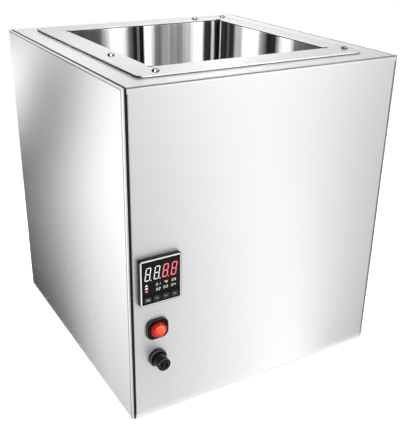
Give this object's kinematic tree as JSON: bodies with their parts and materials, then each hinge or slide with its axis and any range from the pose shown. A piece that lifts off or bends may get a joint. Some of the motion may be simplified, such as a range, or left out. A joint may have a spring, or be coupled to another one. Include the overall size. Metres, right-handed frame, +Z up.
{
  "type": "wax dip tank",
  "caption": "Free-standing steel cabinet with a deep drop-in wax tank, a keyed temperature controller, a lit power button and a screw-cap fuse holder.",
  "frame": {"origin": "centre of the base on the table", "axes": "+Z up, the front with the controls faces -Y, +X to the right as seen from the front"},
  "size_m": [0.34, 0.3794, 0.3848],
  "materials": {
    "steel": "satin brushed",
    "tank_steel": "polished",
    "fastener_steel": "bright",
    "seal": "matt",
    "heater": "matt",
    "insulation": "fibrous",
    "shield": "mill",
    "black_plastic": "gloss",
    "grey_plastic": "matt",
    "window": "smoked gloss",
    "red_plastic": "translucent gloss",
    "white_plastic": "matt",
    "board": "matt",
    "brass": "plain",
    "glass": "clear",
    "lead": "matt"
  },
  "bodies": {
    "cabinet": {"base_pan": "steel", "right_side_panel": "steel", "left_access_panel": "steel", "access_seal": "seal", "front_top_cover": "steel", "rear_panel": "steel", "rear_screws": "fastener_steel", "rear_nuts": "fastener_steel", "tank_tray": "steel", "wax_tank": "tank_steel", "tank_seal": "seal", "tank_screws": "fastener_steel", "tank_nuts": "fastener_steel", "wall_heaters": "heater", "floor_heater": "heater", "wall_insulation": "insulation", "floor_insulation": "insulation", "heat_shield": "shield", "temperature_probe": "fastener_steel", "probe_clip": "steel", "limit_thermostat": "grey_plastic", "controller_bezel": "black_plastic", "controller_window": "window", "controller_housing": "grey_plastic", "controller_board": "board", "controller_clamp": "grey_plastic", "controller_terminals": "brass", "switch_body": "black_plastic", "switch_nut": "grey_plastic", "switch_tabs": "brass", "fuse_body": "black_plastic", "fuse_nut": "grey_plastic", "fuse_tabs": "brass", "relay_plate": "shield", "relay_plate_screws": "fastener_steel", "relay": "grey_plastic", "relay_terminals": "brass", "terminal_block": "white_plastic", "block_screws": "brass", "power_inlet": "black_plastic", "inlet_pins": "brass", "inlet_screws": "fastener_steel", "inlet_nuts": "fastener_steel", "earth_stud": "brass", "earth_nut": "brass", "wiring": "lead"},
    "power_button": {"power_button": "red_plastic"},
    "key_mode": {"key_mode": "grey_plastic"},
    "key_shift": {"key_shift": "grey_plastic"},
    "key_down": {"key_down": "grey_plastic"},
    "key_up": {"key_up": "grey_plastic"},
    "fuse_cartridge": {"fuse_cartridge": "glass"},
    "fuse_cap": {"fuse_cap": "black_plastic"}
  },
  "joints": [
    {"name": "power_press", "type": "slide", "parent": "cabinet", "child": "power_button", "axis": [0, 1, 0], "range_m": [0, 0.0025], "stiffness_N_per_m": 400, "springref_m": -0.002},
    {"name": "key_mode_press", "type": "slide", "parent": "cabinet", "child": "key_mode", "axis": [0, 1, 0], "range_m": [0, 0.0006], "stiffness_N_per_m": 1000, "springref_m": -0.0005},
    {"name": "key_shift_press", "type": "slide", "parent": "cabinet", "child": "key_shift", "axis": [0, 1, 0], "range_m": [0, 0.0006], "stiffness_N_per_m": 1000, "springref_m": -0.0005},
    {"name": "key_down_press", "type": "slide", "parent": "cabinet", "child": "key_down", "axis": [0, 1, 0], "range_m": [0, 0.0006], "stiffness_N_per_m": 1000, "springref_m": -0.0005},
    {"name": "key_up_press", "type": "slide", "parent": "cabinet", "child": "key_up", "axis": [0, 1, 0], "range_m": [0, 0.0006], "stiffness_N_per_m": 1000, "springref_m": -0.0005},
    {"name": "fuse_draw", "type": "slide", "parent": "cabinet", "child": "fuse_cartridge", "axis": [0, -1, 0], "range_m": [0, 0.0019]},
    {"name": "fuse_cap_turn", "type": "hinge", "parent": "fuse_cartridge", "child": "fuse_cap", "pos_m": [-0.1382, -0.183, 0.077], "axis": [0, -1, 0], "range_deg": [0, 450]}
  ],
  "couplings": [
    {"joint": "fuse_draw", "follows": "fuse_cap_turn", "m_per_rad": 0.00023873}
  ]
}
